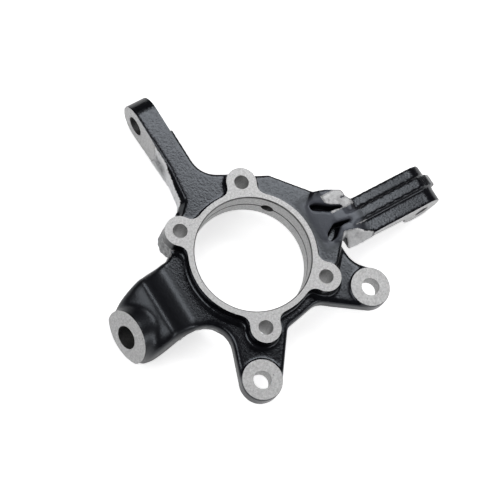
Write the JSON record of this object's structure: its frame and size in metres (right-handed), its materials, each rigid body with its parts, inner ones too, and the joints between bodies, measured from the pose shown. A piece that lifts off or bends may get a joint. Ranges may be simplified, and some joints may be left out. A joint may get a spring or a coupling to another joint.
{
  "type": "steering knuckle",
  "caption": "Cast iron steering knuckle with a round hub seat, caliper lugs, tie rod arm, strut arm and tapered ball joint boss.",
  "frame": {"origin": "centre of the hub bore on the machined hub face", "axes": "+Z along the hub bore axis, outboard towards the wheel; +X along the short side of the hub bolt rectangle, 10 degrees from vehicle up; +Y along its long side"},
  "size_m": [0.2886, 0.2495, 0.05],
  "materials": {
    "casting": "black painted casting, bare machined seats and bores"
  },
  "bodies": {
    "root": {"steering_knuckle": "casting"}
  },
  "joints": []
}
